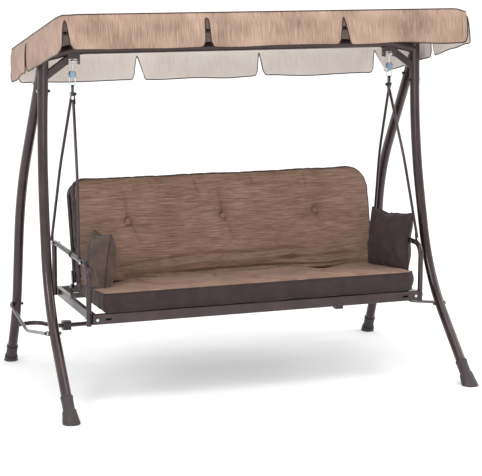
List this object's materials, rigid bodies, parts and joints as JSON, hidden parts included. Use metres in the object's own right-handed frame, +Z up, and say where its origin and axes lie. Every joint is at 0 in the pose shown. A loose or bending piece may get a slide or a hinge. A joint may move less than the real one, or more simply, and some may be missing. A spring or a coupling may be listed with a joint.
{
  "type": "canopy patio swing",
  "caption": "Garden swing seat with bent-tube side frames, rod-hung sofa bench, reclining padded back, loose pillows and a tilting cloth canopy with split valances.",
  "frame": {"origin": "on the ground, midway between the four feet", "axes": "+X to the sitter's left along the bench, the right of the swing as seen from its front; front towards -Y; +Z up"},
  "size_m": [2.0726, 1.298, 1.8177],
  "materials": {
    "frame_paint": "satin",
    "zinc": "satin",
    "black_plastic": "satin",
    "rubber": "matte",
    "canopy_cloth": "matte",
    "cushion_cloth": "matte",
    "olive_cloth": "matte",
    "dark_cloth": "matte"
  },
  "bodies": {
    "stand": {"front_leg_left": "frame_paint", "front_leg_right": "frame_paint", "rear_leg_left": "frame_paint", "rear_leg_right": "frame_paint", "boots": "black_plastic", "upper_posts": "frame_paint", "post_caps": "black_plastic", "rear_stubs": "frame_paint", "side_bars": "frame_paint", "top_beam": "frame_paint", "hanger_brackets": "frame_paint", "corner_braces": "frame_paint", "hanger_pins": "zinc", "side_braces": "frame_paint", "rear_crossbar": "frame_paint", "crossbar_clamps": "black_plastic", "frame_bolts": "zinc", "frame_cap_nuts": "black_plastic", "canopy_hinge_plates": "frame_paint", "canopy_pivot_bolts": "zinc"},
    "swing": {"hanger_eyes": "zinc", "bearing_housings": "black_plastic", "shackles": "zinc", "hanger_knuckles": "frame_paint", "front_rod_left": "frame_paint", "front_rod_right": "frame_paint", "rear_rod_left": "frame_paint", "rear_rod_right": "frame_paint", "rod_bolts": "zinc", "rod_cap_nuts": "black_plastic", "arm_left": "frame_paint", "arm_right": "frame_paint", "arm_clips": "black_plastic", "seat_front_rail": "frame_paint", "seat_side_rail_left": "frame_paint", "seat_side_rail_right": "frame_paint", "seat_rear_rail": "frame_paint", "seat_cross_rail": "frame_paint", "seat_slats": "frame_paint", "seat_frame_bolts": "zinc", "back_rest_pads": "rubber", "recline_brackets": "frame_paint", "recline_pins": "zinc", "seat_cushion": "cushion_cloth", "pillow_left": "olive_cloth", "pillow_right": "dark_cloth"},
    "backrest": {"backrest_frame": "frame_paint", "recline_tabs": "frame_paint", "backrest_lower_rail": "frame_paint", "backrest_slats": "frame_paint", "back_cushion": "cushion_cloth"},
    "canopy": {"canopy_front_bow": "frame_paint", "canopy_rear_bow": "frame_paint", "canopy_side_tubes": "frame_paint", "canopy_middle_tube": "frame_paint", "canopy_lugs": "frame_paint", "canopy_top": "canopy_cloth", "canopy_front_valance": "canopy_cloth", "canopy_rear_valance": "canopy_cloth", "canopy_side_valances": "canopy_cloth"}
  },
  "joints": [
    {"name": "swing", "type": "hinge", "parent": "stand", "child": "swing", "pos_m": [0, 0, 1.565], "axis": [1, 0, 0], "range_deg": [-20, 20]},
    {"name": "back_recline", "type": "hinge", "parent": "swing", "child": "backrest", "pos_m": [0, 0.17, 0.455], "axis": [1, 0, 0], "range_deg": [-76, 0]},
    {"name": "canopy_tilt", "type": "hinge", "parent": "stand", "child": "canopy", "pos_m": [0, 0, 1.66], "axis": [1, 0, 0], "range_deg": [-10, 30]}
  ]
}
